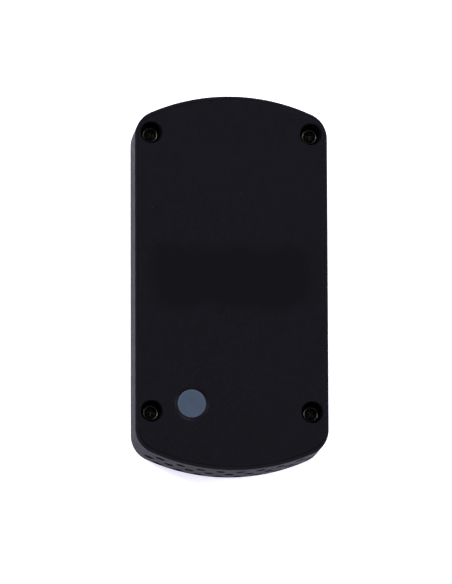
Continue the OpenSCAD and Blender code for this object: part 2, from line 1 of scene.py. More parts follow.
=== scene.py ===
"""Handheld electronic game caller on its front, seen from the back: visual model, floor, light and camera.

Everything is in the part's own frame. Shapes, and the pitch of threads and traces, are in millimetres. Other
lengths in the materials, the lamps and the camera's distance are in metres.
"""
import math

import bpy
from mathutils import Matrix, Vector


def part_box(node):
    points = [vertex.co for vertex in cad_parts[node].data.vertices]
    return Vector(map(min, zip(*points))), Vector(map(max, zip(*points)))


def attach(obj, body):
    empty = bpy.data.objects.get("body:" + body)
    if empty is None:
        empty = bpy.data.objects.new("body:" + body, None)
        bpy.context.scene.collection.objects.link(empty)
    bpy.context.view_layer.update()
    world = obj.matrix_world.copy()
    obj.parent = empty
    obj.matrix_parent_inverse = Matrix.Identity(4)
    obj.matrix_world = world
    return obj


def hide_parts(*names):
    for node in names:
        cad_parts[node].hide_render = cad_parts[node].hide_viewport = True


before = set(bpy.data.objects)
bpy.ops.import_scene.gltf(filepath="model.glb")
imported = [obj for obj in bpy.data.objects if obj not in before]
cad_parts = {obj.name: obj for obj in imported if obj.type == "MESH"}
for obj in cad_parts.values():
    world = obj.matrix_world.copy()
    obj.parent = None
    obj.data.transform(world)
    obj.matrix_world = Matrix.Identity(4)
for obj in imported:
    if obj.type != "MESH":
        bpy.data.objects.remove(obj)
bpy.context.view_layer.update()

MM = 0.001

# The body, as in the CAD
BODY_W, BODY_L, BODY_H = 66.0, 129.0, 25.0
END_R, CORNER_R, FRONT_R = 67.5, 9.0, 5.0
WALL_T, FRONT_T = 2.4, 2.8
HALF_W, HALF_L = BODY_W / 2, BODY_L / 2
CORNER_X, END_Y = HALF_W - CORNER_R, HALF_L - END_R
CORNER_Y = END_Y + math.sqrt((END_R - CORNER_R) ** 2 - CORNER_X ** 2)
CORNER_A = math.atan2(CORNER_Y - END_Y, CORNER_X)
SIDE_STEPS, CORNER_STEPS, END_STEPS = 6, 16, 40

# The rim stands a little lower than the cover, and the outer skin a little inside the CAD outline
RIM_W, RIM_Z, RIM_BEVEL = 1.12, 24.86, 0.08
COVER_GAP, COVER_EDGE_R = 0.07, 0.36
SKIN = 0.01
TINY = 0.02  # radius of the last ring where a turned form meets its axis

# Heights in the body, and what the cover screws pass through
COVER_Z, LEDGE_Z, BOSS_Z, SEAT_Z, HEAD_TOP_Z = 22.5, 22.0, 16.7, 18.3, 20.0
SCREWS = [(x, y) for y in (51.7, -44.4) for x in (-27.4, 27.4)]
SCREW_TURNS = (20, 48, 32, 8)  # how far each screw's recess happens to stand turned, in degrees
SCREW_R, SCREW_DOME_R, SCREW_FLANGE_T, SHANK_R, SHANK_TIP_R, SHANK_L = 2.5, 2.05, 0.9, 1.25, 0.75, 8
SCREW_HOLE_R, SHANK_HOLE_R, BOSS_R = 3.75, 1.45, 4.3
TOWER_R, TOWER_SHIFT, BOSS_SOCKET_R = 5.75, 0.992, 4.65
PILOT_R, PILOT_Z, INSERT_R, INSERT_Z = 1.5, 8.7, 2.02, 11.7

# Back button, and the posts of the small board under it
BUTTON = (-13.7, -41.8)
BUTTON_R, BUTTON_TOP_Z, BUTTON_EDGE_R = 4.9, 24.7, 0.35
BUTTON_FOOT_R, BUTTON_FOOT_Z, PLUNGER_R, PLUNGER_Z = 5.9, 21.7, 1.5, 20.6
BUTTON_HOLE_R, RING_Z, RING_R = 5.05, 24.45, 6.02
POST_SIDES, POST_R, POST_Z, POST_HOLE_R, POST_HOLE_END = (-8.3, 8.3), 1.7, 19.0, 0.82, 21.6

# Sound holes: three rows in the bottom end wall and a round field in the front
VENT_D, VENT_PITCH = 3.2, 6.86
ROW_STEP = VENT_PITCH * math.sin(math.radians(60))
TOP_ROW_Z = 18.8
END_ROWS = [(TOP_ROW_Z, 8), (TOP_ROW_Z - ROW_STEP, 9), (TOP_ROW_Z - 2 * ROW_STEP, 8)]
SPEAKER_Y, FRONT_VENTS_R = -33.0, 19.5

# Keys and status lens in the sunk field of the front
FIELD_W, FIELD_L, FIELD_R, FIELD_Y, FIELD_Z = 49, 49.75, 4, 29.125, 0.8
KEY_W, KEY_H, KEY_R, KEY_GAP = 11.0, 8.5, 2.0, 0.25
KEY_X, KEY_Y = 15.0, (38.0, 25.5, 13.0)
KEY_FACE_Z = 0.3
FLANGE_W, FLANGE_T, STEM_R, STEM_Z = 0.8, 0.8, 1.5, 5.8  # the lip behind a key, and the stem to its dome
LENS_Y, LENS_HOLE_R = 49.5, 1.52

# Plug and audio socket in the top end wall
SOCKET_Z = 10.23
PLUG_W, PLUG_H, PLUG_SEAT_Y, PLUG_EDGE_R = 13.0, 6.6, 63.2, 0.55
PORT_W, PORT_H, PLUG_CLEARANCE = 10, 4.2, 0.3
SEAT_R, PORT_R, PLUG_SHANK_R = 3.44, 2.09, 1.94
JACK_X, JACK_Y, JACK_Z, JACK_R = 12.0, 62.4, 11.3, 2.6
JACK_AT = (JACK_X, 0, JACK_Z)
JACK_BORE_R, JACK_MOUTH_R = 1.8, 2.35


# ---------------------------------------------------------------- mesh code

def plan(inset):
    """The body's plan outline moved inwards, counter-clockwise from the middle of the right side."""
    corner_r, end_r = CORNER_R - inset, END_R - inset
    quarter = [(HALF_W - inset, CORNER_Y * i / SIDE_STEPS) for i in range(SIDE_STEPS)]
    for i in range(CORNER_STEPS + 1):
        a = CORNER_A * i / CORNER_STEPS
        quarter.append((CORNER_X + corner_r * math.cos(a), CORNER_Y + corner_r * math.sin(a)))
    for i in range(1, END_STEPS + 1):
        a = CORNER_A + (math.pi / 2 - CORNER_A) * i / END_STEPS
        quarter.append((end_r * math.cos(a), END_Y + end_r * math.sin(a)))
    back = quarter[::-1]
    return (quarter[:-1] + [(-x, y) for x, y in back][:-1]
            + [(-x, -y) for x, y in quarter][:-1] + [(x, -y) for x, y in back][:-1])


def round_rect(w, h, r, steps=8):
    """A rectangle with round corners about the origin, counter-clockwise."""
    points = []
    for cx, cy, start in ((1, 1, 0), (-1, 1, 90), (-1, -1, 180), (1, -1, 270)):
        for i in range(steps + 1):
            a = math.radians(start + 90 * i / steps)
            points.append((cx * (w / 2 - r) + r * math.cos(a), cy * (h / 2 - r) + r * math.sin(a)))
    return points


def circle(r, n=48):
    """A circle about the origin, counter-clockwise."""
    return [(r * math.cos(2 * math.pi * i / n), r * math.sin(2 * math.pi * i / n)) for i in range(n)]


def arc(cx, cz, r, start, end, steps):
    """Points of an arc in a section, angles in degrees."""
    return [(cx + r * math.cos(math.radians(start + (end - start) * i / steps)),
             cz + r * math.sin(math.radians(start + (end - start) * i / steps))) for i in range(steps + 1)]


class Form:
    """Vertices and faces of one piece, in millimetres."""

    def __init__(self):
        self.points, self.faces = [], []

    def loft(self, rings, closed=False):
        """A solid through rings of equally many points. Its ends are capped, or joined if it is closed."""
        base, n = len(self.points), len(rings[0])
        for ring in rings:
            self.points.extend(ring)
        pairs = len(rings) if closed else len(rings) - 1
        for k in range(pairs):
            low, high = base + k * n, base + (k + 1) % len(rings) * n
            for i in range(n):
                j = (i + 1) % n
                self.faces.append((low + i, low + j, high + j, high + i))
        if not closed:
            self.faces.append(tuple(range(base + n - 1, base - 1, -1)))
            self.faces.append(tuple(range(base + (len(rings) - 1) * n, base + len(rings) * n)))
        return self

    def lathe(self, section, at=(0, 0, 0), n=48, axis="z", closed=False):
        """A turned form. The section runs from the axis back to the axis, or round a closed ring."""
        return self.loft([[turned((x, y, z), axis, at) for x, y in circle(r, n)] for r, z in section], closed)

    def prism(self, points, low, high, at=(0, 0, 0), axis="z"):
        """An outline drawn out from low to high."""
        return self.loft([[turned((x, y, z), axis, at) for x, y in points] for z in (low, high)])

    def object(self, name):
        """The form as an object in the scene."""
        mesh = bpy.data.meshes.new(name)
        mesh.from_pydata([(x * MM, y * MM, z * MM) for x, y, z in self.points], [], self.faces)
        mesh.validate()
        out = bpy.data.objects.new(name, mesh)
        bpy.context.scene.collection.objects.link(out)
        return out


def turned(p, axis, at):
    """Takes a point drawn about +Z to the given axis and place."""
    x, y, z = p
    if axis == "y":
        x, y, z = -x, z, y
    elif axis == "-z":
        x, y, z = -x, y, -z
    return (x + at[0], y + at[1], z + at[2])


def combine(obj, tool, operation):
    """Joins the tool to a piece, cuts it away or keeps what both share, and leaves only the result."""
    change = obj.modifiers.new("combine", "BOOLEAN")
    change.object, change.operation, change.solver = tool, operation, "EXACT"
    bpy.context.view_layer.update()
    result = bpy.data.meshes.new_from_object(obj.evaluated_get(bpy.context.evaluated_depsgraph_get()))
    obj.modifiers.clear()
    obj.data = result
    bpy.data.objects.remove(tool)
    return obj


def carve(obj, form, operation="DIFFERENCE"):
    """Cuts a form away from a piece, or combines it with the piece by another operation."""
    return combine(obj, form.object("tool"), operation)


def piece(obj, material, body, *nodes, angle=34.0):
    """Shades a piece, gives it its material and puts it on its body in place of CAD nodes."""
    obj.data.shade_smooth()
    obj.data.set_sharp_from_angle(angle=math.radians(angle))
    even = obj.modifiers.new("even shading", "WEIGHTED_NORMAL")
    even.keep_sharp = True
    obj.data.materials.clear()
    obj.data.materials.append(material)
    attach(obj, body)
    if nodes:
        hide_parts(*nodes)


# ---------------------------------------------------------------- materials

class Paint:
    """A node material: a Principled shader and short calls for the nodes that feed it."""

    def __init__(self, name, color, roughness, metallic=0.0, specular=0.5, **more):
        self.material = bpy.data.materials.new(name)
        self.material.use_nodes = True
        self.tree = self.material.node_tree
        self.shader = self.tree.nodes["Principled BSDF"]
        self.shader.inputs["Base Color"].default_value = (*color, 1)
        self.shader.inputs["Roughness"].default_value = roughness
        self.shader.inputs["Metallic"].default_value = metallic
        self.shader.inputs["Specular IOR Level"].default_value = specular
        for key, value in more.items():
            self.shader.inputs[key.replace("_", " ")].default_value = value
        self.place = self.tree.nodes.new("ShaderNodeTexCoord").outputs["Object"]

    def link(self, source, target):
        self.tree.links.new(source, target)

    def noise(self, scale, detail=3.0, rough=0.55, stretch=None):
        node = self.tree.nodes.new("ShaderNodeTexNoise")
        node.inputs["Scale"].default_value = scale
        node.inputs["Detail"].default_value = detail
        node.inputs["Roughness"].default_value = rough
        self.link(self.stretched(stretch) if stretch else self.place, node.inputs["Vector"])
        return node.outputs["Fac"]

    def stretched(self, by):
        node = self.tree.nodes.new("ShaderNodeMapping")
        node.inputs["Scale"].default_value = by
        self.link(self.place, node.inputs["Vector"])
        return node.outputs["Vector"]

    def ramp(self, source, low, high, to_low=0.0, to_high=1.0):
        """The source from low to high, mapped smoothly to the other two values and held outside them."""
        node = self.tree.nodes.new("ShaderNodeMapRange")
        node.interpolation_type = "SMOOTHSTEP"
        for key, value in (("From Min", low), ("From Max", high), ("To Min", to_low), ("To Max", to_high)):
            node.inputs[key].default_value = value
        self.link(source, node.inputs["Value"])
        return node.outputs["Result"]

    def math(self, operation, a, b=0):
        """One step of arithmetic on numbers or outputs."""
        node = self.tree.nodes.new("ShaderNodeMath")
        node.operation = operation
        for i, value in enumerate((a, b)):
            if isinstance(value, (int, float)):
                node.inputs[i].default_value = value
            else:
                self.link(value, node.inputs[i])
        return node.outputs[0]

    def axis(self, name):
        """The surface point's place along one axis of the object, in metres."""
        node = self.tree.nodes.new("ShaderNodeSeparateXYZ")
        self.link(self.place, node.inputs[0])
        return node.outputs[name]

    def mix(self, factor, a, b):
        """A colour from a to b; each is a triple or an output."""
        node = self.tree.nodes.new("ShaderNodeMix")
        node.data_type = "RGBA"
        self.link(factor, node.inputs[0])
        for i, value in ((6, a), (7, b)):
            if isinstance(value, tuple):
                node.inputs[i].default_value = (*value, 1)
            else:
                self.link(value, node.inputs[i])
        return node.outputs[2]

    def color(self, source):
        self.link(source, self.shader.inputs["Base Color"])

    def rough(self, source, low, high):
        self.link(self.ramp(source, 0.3, 0.7, low, high), self.shader.inputs["Roughness"])

    def bump(self, source, height, strength=1.0):
        """Raises the surface by the source times a height in metres, on top of earlier bumps."""
        node = self.tree.nodes.new("ShaderNodeBump")
        node.inputs["Strength"].default_value = strength
        node.inputs["Distance"].default_value = height
        self.link(source, node.inputs["Height"])
        if self.shader.inputs["Normal"].is_linked:
            self.link(self.shader.inputs["Normal"].links[0].from_socket, node.inputs["Normal"])
        self.link(node.outputs["Normal"], self.shader.inputs["Normal"])
        return self

    def specks(self, scale, size, share):
        """A mask of small round specks, in that share of the cells."""
        node = self.tree.nodes.new("ShaderNodeTexVoronoi")
        node.inputs["Scale"].default_value = scale
        self.link(self.place, node.inputs["Vector"])
        pick = self.tree.nodes.new("ShaderNodeSeparateColor")
        self.link(node.outputs["Color"], pick.inputs[0])
        near = self.ramp(node.outputs["Distance"], size, size * 0.4)
        return self.math("MULTIPLY", near, self.ramp(pick.outputs[0], 1 - share - 0.01, 1 - share))


def scaled(color, by):
    return tuple(c * by for c in color)


def case_plastic(name, color, specular, darker_zone=False):
    """Black moulded plastic: fine eroded texture, cloudy tone, dust specks and, if asked, a darker zone."""
    p = Paint(name, color, 0.5, specular=specular, Specular_Tint=(0.86, 0.8, 1.0, 1.0),
              Sheen_Weight=0.015, Sheen_Roughness=0.3, Sheen_Tint=(0.5, 0.3, 1.0, 1.0))
    tone = p.mix(p.ramp(p.noise(38, 4), 0.3, 0.7), scaled(color, 0.93), scaled(color, 1.07))
    tone = p.mix(p.ramp(p.noise(1500, 2), 0.35, 0.65), tone, scaled(color, 1.3))
    if darker_zone:
        across, along = p.axis("X"), p.math("SUBTRACT", p.axis("Y"), ZONE_MIDDLE)
        drift = p.ramp(p.noise(70, 3), 0.3, 0.7, -0.002, 0.002)
        side = p.ramp(p.math("ADD", p.math("ABSOLUTE", across), drift), *ZONE_SIDE_FADE)
        end = p.ramp(p.math("ADD", p.math("ABSOLUTE", along), drift), *ZONE_END_FADE)
        tone = p.mix(p.math("MULTIPLY", side, end), tone, ZONE)
    p.color(p.mix(p.specks(200, 0.05, 0.6), tone, (0.02, 0.02, 0.022)))
    p.rough(p.noise(240, 3), 0.48, 0.52)
    p.bump(p.noise(2300, 2, 0.6), 0.00005, 0.6)
    p.bump(p.noise(620, 3), 0.00003, 0.3)
    return p.material


def soft_paint(name, color, roughness, grain=1800, specular=0.4, lift=0.00003, **more):
    """Plastic, rubber or lacquer with tone, roughness and grain that vary gently."""
    p = Paint(name, color, roughness, specular=specular, **more)
    p.color(p.mix(p.ramp(p.noise(260, 4), 0.3, 0.7), scaled(color, 0.88), scaled(color, 1.1)))
    p.rough(p.noise(500, 3), roughness - 0.05, min(roughness + 0.07, 1))
    return p.bump(p.noise(grain, 2), lift, 0.5).material


def button_paint(name, color):
    """Pale blue-grey silicone, painted a little lighter towards the edge as a painted highlight of its edge
    glow, with a faint finger smudge.
    """
    p = Paint(name, color, 0.72, specular=0.2)
    x, y = (p.math("SUBTRACT", p.axis(a), c * MM) for a, c in (("X", BUTTON[0]), ("Y", BUTTON[1])))

    def away(up):
        """Distance from a point that far above the button's middle."""
        squares = [p.math("POWER", x, 2), p.math("POWER", p.math("SUBTRACT", y, up), 2)]
        return p.math("POWER", p.math("ADD", *squares), 0.5)

    tone = p.mix(p.ramp(p.noise(260, 4), 0.3, 0.7), scaled(color, 0.92), scaled(color, 1.06))
    # Painted highlight: a ring towards the edge, 12 per cent lighter, stands in for the glow of light at the
    # button's rounded edge.
    tone = p.mix(p.ramp(away(0), 0.0036, 0.0047), tone, scaled(color, 1.12))
    smudge = p.math("MULTIPLY", p.ramp(away(0.0013), 0.0016, 0.0002),
                    p.ramp(p.noise(900, 2), 0.3, 0.6, 0.4, 1.0))
    p.color(p.mix(smudge, tone, scaled(color, 0.9)))
    p.rough(p.noise(500, 3), 0.67, 0.79)
    return p.bump(p.noise(2600, 2), 0.00003, 0.5).material


def metal(name, color, roughness, stretch=None):
    """Plated or turned metal with fine tool marks."""
    p = Paint(name, color, roughness, metallic=1.0)
    p.color(p.mix(p.ramp(p.noise(900, 4), 0.35, 0.7), scaled(color, 0.7), scaled(color, 1.15)))
    p.rough(p.noise(1400, 3, stretch=stretch), roughness - 0.08, roughness + 0.12)
    return p.bump(p.noise(2600, 2, stretch=stretch), 0.00002, 0.5).material


def woven(name, color, pitch):
    """Fine mesh cloth: threads across each axis, dark between them."""
    p = Paint(name, color, 0.7)
    waves = []
    for along in ("X", "Y", "Z"):
        wave = p.math("SINE", p.math("MULTIPLY", p.axis(along), 2 * math.pi / (pitch * MM)))
        waves.append(p.ramp(wave, -0.2, 0.9))
    threads = p.math("MAXIMUM", p.math("MAXIMUM", waves[0], waves[1]), waves[2])
    p.color(p.mix(threads, scaled(color, 0.15), color))
    return p.bump(threads, 0.00008).material


def board(name, pitch):
    """Green solder mask with traces showing through it, along X in some places and along Y in others."""
    p = Paint(name, (0.01, 0.09, 0.045), 0.35, specular=0.5)
    lines = []
    for along in ("X", "Y"):
        wave = p.math("SINE", p.math("MULTIPLY", p.axis(along), 2 * math.pi / (pitch * MM)))
        lines.append(p.ramp(wave, 0.55, 0.75))
    field = p.ramp(p.noise(160, 1), 0.48, 0.52)
    trace = p.math("ADD", p.math("MULTIPLY", lines[0], field),
                   p.math("MULTIPLY", lines[1], p.math("SUBTRACT", 1, field)))
    p.color(p.mix(trace, (0.008, 0.075, 0.04), (0.02, 0.15, 0.08)))
    return p.bump(trace, 0.00003).material


CASE = (0.0045, 0.0045, 0.0065)
# A slightly darker zone across the cover: its tone, its middle, and where its sides and ends fade
ZONE = (0.0034, 0.0037, 0.0052)
ZONE_MIDDLE, ZONE_SIDE_FADE, ZONE_END_FADE = 0.0018, (0.031, 0.0235), (0.0138, 0.0076)
# Painted light: the shell's copy of the black case plastic is painted 1.75 times lighter than the cover's, so
# that its narrow rim and side walls read as brightly lit.
M_SHELL = case_plastic("case_plastic_shell_painted_lighter", scaled(CASE, 1.75), 0.019)
M_COVER = case_plastic("case_plastic_cover", CASE, 0.075, darker_zone=True)
M_BUTTON = button_paint("button_silicone", (0.0468, 0.0652, 0.107))
M_SCREW = metal("screw_black_zinc", (0.092, 0.087, 0.075), 0.4)
M_STEEL = metal("screw_zinc", (0.5, 0.5, 0.52), 0.3)
M_BRASS = metal("insert_brass", (0.62, 0.44, 0.18), 0.32)
M_NICKEL = metal("socket_nickel", (0.62, 0.61, 0.58), 0.25)
M_KEY = soft_paint("key_rubber_pale", (0.42, 0.42, 0.39), 0.62)
M_KEY_GREY = soft_paint("key_rubber_grey", (0.2, 0.21, 0.215), 0.62)
M_KEY_RED = soft_paint("key_rubber_red", (0.4, 0.03, 0.02), 0.6)
M_LEGEND = soft_paint("legend_ink", (0.02, 0.02, 0.02), 0.5)
M_LEGEND_PALE = soft_paint("legend_ink_pale", (0.75, 0.75, 0.72), 0.5)
M_RUBBER = soft_paint("plug_rubber", (0.007, 0.007, 0.0078), 0.68, grain=2200, specular=0.25)
M_JACK = soft_paint("jack_plastic", (0.012, 0.012, 0.013), 0.35)


# ---------------------------------------------------------------- front shell

def surface_y(x):
    """Distance of the end wall's outer face from the middle, at that x."""
    x = abs(x)
    if x <= END_R * math.cos(CORNER_A):
        return END_Y + math.sqrt(END_R ** 2 - x * x)
    return CORNER_Y + math.sqrt(max(CORNER_R ** 2 - (x - CORNER_X) ** 2, 0))


def skin():
    """The closed wall of the shell, from its front face round the rim and back down the inside."""
    section = [(SKIN + FRONT_R - FRONT_R * math.sin(a), FRONT_R - FRONT_R * math.cos(a))
               for a in (math.radians(7.5 * i) for i in range(13))]
    section += [(SKIN, z) for z in (10, 15, 20, RIM_Z - 0.14)]
    section += [(SKIN + 0.04, RIM_Z - 0.04), (SKIN + 0.14, RIM_Z)]
    section += [(RIM_W - RIM_BEVEL, RIM_Z), (RIM_W, RIM_Z - RIM_BEVEL), (RIM_W, LEDGE_Z), (WALL_T, LEDGE_Z)]
    section += [(WALL_T, 3.6), (WALL_T + 0.24, 3.04), (WALL_T + 0.8, FRONT_T)]
    rings = [[(x, y, z) for x, y in plan(inset)] for inset, z in section]
    return Form().loft(rings).object("front_shell_skin")


def corner_towers():
    """Posts under the screws, trimmed to the shell's inside because they merge with the side walls."""
    towers = Form()
    for x, y in SCREWS:
        towers.prism(circle(TOWER_R), FRONT_T - 0.4, LEDGE_Z - 0.01, at=(x * TOWER_SHIFT, y, 0))
    inside = Form().prism(plan(RIM_W + 0.01), 0, LEDGE_Z + 1)
    return carve(towers.object("posts"), inside, "INTERSECT")


def tower_bores():
    """Bore, insert seat and socket for the cover's boss in each tower."""
    bores = Form()
    for x, y in SCREWS:
        bores.lathe([(PILOT_R, PILOT_Z), (PILOT_R, INSERT_Z), (INSERT_R, INSERT_Z), (INSERT_R, BOSS_Z),
                     (BOSS_SOCKET_R, BOSS_Z), (BOSS_SOCKET_R, BODY_H - 0.5)], at=(x, y, 0))
    return bores


def end_vents():
    """Sound holes through the bottom end wall, a little flared where they meet its curved face."""
    vents = Form()
    r, soft = VENT_D / 2, 0.08
    for z, count in END_ROWS:
        for i in range(count):
            x = (i - (count - 1) / 2) * VENT_PITCH
            face = surface_y(x)
            flare = [(r, WALL_T + 2.5), (r, soft), (r + soft, 0), (r + soft, -4)]
            vents.loft([[(x + px, -face + depth, z + pz) for px, pz in circle(hole_r, 36)]
                        for hole_r, depth in flare])
    return vents


def front_vents():
    """Sound holes in staggered rows over the loudspeaker, with a small chamfer."""
    vents = Form()
    r, chamfer = VENT_D / 2, 0.2
    section = [(r + chamfer, -1), (r + chamfer, 0), (r, chamfer), (r, FRONT_T + 1)]
    for j in range(-3, 4):
        for i in range(-4, 5):
            x, y = (i + (j % 2) / 2) * VENT_PITCH, j * ROW_STEP
            if math.hypot(x, y) < FRONT_VENTS_R:
                vents.lathe(section, at=(x, SPEAKER_Y + y, 0), n=32)
    return vents


def key_field():
    return Form().prism(round_rect(FIELD_W, FIELD_L, FIELD_R), -1, FIELD_Z, at=(0, FIELD_Y, 0))


def key_openings():
    """Openings for the keys, the round power key in the last row's middle, and the status lens."""
    openings = Form()
    outline = round_rect(KEY_W + 2 * KEY_GAP, KEY_H + 2 * KEY_GAP, KEY_R + KEY_GAP)
    for row, y in enumerate(KEY_Y):
        for x in (-KEY_X, 0, KEY_X):
            if x or row < 2:
                openings.prism(outline, -1, 4, at=(x, y, 0))
    openings.prism(circle(KEY_H / 2 + KEY_GAP), -1, 4, at=(0, KEY_Y[2], 0))
    return openings.prism(circle(LENS_HOLE_R, 32), -1, 4, at=(0, LENS_Y, 0))


def plug_seat():
    outline = round_rect(PLUG_W + PLUG_CLEARANCE, PLUG_H + PLUG_CLEARANCE, SEAT_R, 12)
    return Form().prism(outline, PLUG_SEAT_Y, 66, at=(0, 0, SOCKET_Z), axis="y")


def end_openings():
    """Openings through the top end wall for the plug's shank and the audio socket."""
    port = round_rect(PORT_W, PORT_H, PORT_R, 10)
    openings = Form().prism(port, 61, 64, at=(0, 0, SOCKET_Z), axis="y")
    mouth, hole_r, flare = surface_y(JACK_X), JACK_R + 0.2, 0.35
    section = [(hole_r, 57), (hole_r, mouth - 0.3), (hole_r + flare, mouth + 0.1), (hole_r + flare, 66)]
    return openings.lathe(section, at=JACK_AT, axis="y")


def shell():
    out = combine(skin(), corner_towers(), "UNION")
    for form in (tower_bores(), end_vents(), front_vents(), key_field(), key_openings(), plug_seat(),
                 end_openings()):
        carve(out, form)
    piece(out, M_SHELL, "housing", "front_shell")


# ---------------------------------------------------------------- back cover

def cover_bosses():
    """Bosses under the screw holes and posts for the button's board."""
    bosses = Form()
    for x, y in SCREWS:
        bosses.prism(circle(BOSS_R), BOSS_Z, COVER_Z + 0.3, at=(x, y, 0))
    for side in POST_SIDES:
        bosses.prism(circle(POST_R, 32), POST_Z, COVER_Z + 0.3, at=(BUTTON[0], BUTTON[1] + side, 0))
    return bosses


def cover_holes():
    """Deep screw holes, the button's hole in its sloped ring, and the holes in the posts."""
    holes = Form()
    r = SCREW_HOLE_R
    section = [(SHANK_HOLE_R, BOSS_Z - 1), (SHANK_HOLE_R, SEAT_Z), (r, SEAT_Z), (r, BODY_H - 0.16),
               (r + 0.04, BODY_H - 0.07), (r + 0.14, BODY_H), (r + 0.14, BODY_H + 1)]
    for x, y in SCREWS:
        holes.lathe(section, at=(x, y, 0), n=96)
    ring = [(BUTTON_HOLE_R, COVER_Z - 1), (BUTTON_HOLE_R, RING_Z), (RING_R - 0.1, BODY_H - 0.07),
            (RING_R, BODY_H), (RING_R, BODY_H + 1)]
    holes.lathe(ring, at=(*BUTTON, 0), n=96)
    for side in POST_SIDES:
        holes.lathe([(POST_HOLE_R, POST_Z - 1), (POST_HOLE_R, POST_HOLE_END)],
                    at=(BUTTON[0], BUTTON[1] + side, 0), n=24)
    return holes


def cover():
    inset, r = RIM_W + COVER_GAP, COVER_EDGE_R
    section = [(inset, COVER_Z), (inset, BODY_H - r)]
    section += [(inset + r - r * math.cos(a), BODY_H - r + r * math.sin(a))
                for a in (math.radians(15 * i) for i in range(1, 7))]
    out = Form().loft([[(x, y, z) for x, y in plan(i)] for i, z in section]).object("back_cover_skin")
    carve(out, cover_bosses(), "UNION")
    carve(out, cover_holes())
    piece(out, M_COVER, "housing", "back_cover")


# ---------------------------------------------------------------- screws and button

def screw(form, x, y):
    """The turned part of a cover screw: threaded shank, thin slightly dished flange and a domed middle."""
    r, dome_r, flange_z, tip_z = SCREW_R, SCREW_DOME_R, SEAT_Z + SCREW_FLANGE_T, SEAT_Z - SHANK_L
    section = [(TINY, tip_z), (SHANK_TIP_R, tip_z), (SHANK_R, tip_z + 0.6), (SHANK_R, SEAT_Z)]
    section += [(r - 0.1, SEAT_Z), (r, SEAT_Z + 0.1), (r, flange_z), (r - 0.03, flange_z + 0.09),
                (r - 0.08, flange_z + 0.12), (dome_r + 0.02, flange_z)]
    section += [(dome_r * math.cos(a), flange_z + (HEAD_TOP_Z - flange_z) * math.sin(a))
                for a in (math.radians(9 * i) for i in range(9))]
    form.lathe(section + [(TINY, HEAD_TOP_Z)], at=(x, y, 0), n=64)


def recess_wing(form, x, y, angle):
    """One tapered slot of the cross recess in a screw head."""
    a = math.radians(angle)
    rings = []
    for share, depth in ((0.35, 0.9), (0.7, 0.55), (1.0, 0.02), (1.15, -0.3)):
        ring = round_rect(3.0 * share, 0.7 * share, 0.22 * share, 3)
        rings.append([(x + px * math.cos(a) - py * math.sin(a), y + px * math.sin(a) + py * math.cos(a),
                       HEAD_TOP_Z - depth) for px, py in ring])
    form.loft(rings)


def cover_screws():
    heads = Form()
    for x, y in SCREWS:
        screw(heads, x, y)
    out = heads.object("cover_screw_set")
    for quarter in (0, 90):
        drive = Form()
        for (x, y), turn in zip(SCREWS, SCREW_TURNS):
            recess_wing(drive, x, y, turn + quarter)
        carve(out, drive)
    piece(out, M_SCREW, "housing", "cover_screws")


def back_button():
    top, r = BUTTON_TOP_Z, BUTTON_EDGE_R
    section = [(TINY, PLUNGER_Z), (PLUNGER_R, PLUNGER_Z), (PLUNGER_R, BUTTON_FOOT_Z)]
    section += [(BUTTON_FOOT_R, BUTTON_FOOT_Z), (BUTTON_FOOT_R, COVER_Z), (BUTTON_R, COVER_Z)]
    section += [(BUTTON_R, top - r)] + arc(BUTTON_R - r, top - r, r, 15, 90, 5)
    section += [(BUTTON_R * 0.5, top), (TINY, top)]
    out = Form().lathe(section, at=(*BUTTON, 0), n=96).object("back_button_cap")
    piece(out, M_BUTTON, "back_button", "back_button")


# ---------------------------------------------------------------- keys, plug and socket on the hidden sides

def key_sections():
    """Inset and height of a key's form from its face inwards to its flange."""
    return [(1.2, KEY_FACE_Z + 0.12), (0.7, KEY_FACE_Z), (0.3, KEY_FACE_Z + 0.08), (0.08, KEY_FACE_Z + 0.3),
            (0, KEY_FACE_Z + 0.6), (0, FRONT_T), (-FLANGE_W, FRONT_T), (-FLANGE_W, FRONT_T + FLANGE_T)]


def key(name, x, y, material, legend, ink):
    rings = []
    for inset, z in key_sections():
        r = max(KEY_R - inset, 0.9) if inset > 0 else KEY_R
        rings.append([(x + px, y + py, z) for px, py in round_rect(KEY_W - 2 * inset, KEY_H - 2 * inset, r)])
    form = Form().loft(rings)
    form.prism(circle(STEM_R, 32), FRONT_T + FLANGE_T - 0.05, STEM_Z, at=(x, y, 0))
    piece(form.object(name + "_cap"), material, name, name)
    mark(name, x, y, legend, ink)


def stroke(x1, y1, x2, y2):
    """Outline of a thin bar with round ends."""
    length, a = math.hypot(x2 - x1, y2 - y1), math.atan2(y2 - y1, x2 - x1)
    cx, cy = (x1 + x2) / 2, (y1 + y2) / 2
    return [(cx + px * math.cos(a) - py * math.sin(a), cy + px * math.sin(a) + py * math.cos(a))
            for px, py in round_rect(length + INK_W, INK_W, INK_W / 2 - 0.005, 4)]


def mark(name, x, y, outlines, ink):
    """A raised legend, as read from the front, joined from its outlines."""
    low, high = -(KEY_FACE_Z + 0.2), -(KEY_FACE_Z + 0.06)
    parts = [Form().prism(outline, low, high, at=(x, y, 0), axis="-z") for outline in outlines]
    out = parts[0].object(name + "_legend")
    for part in parts[1:]:
        carve(out, part, "UNION")
    piece(out, ink, name)


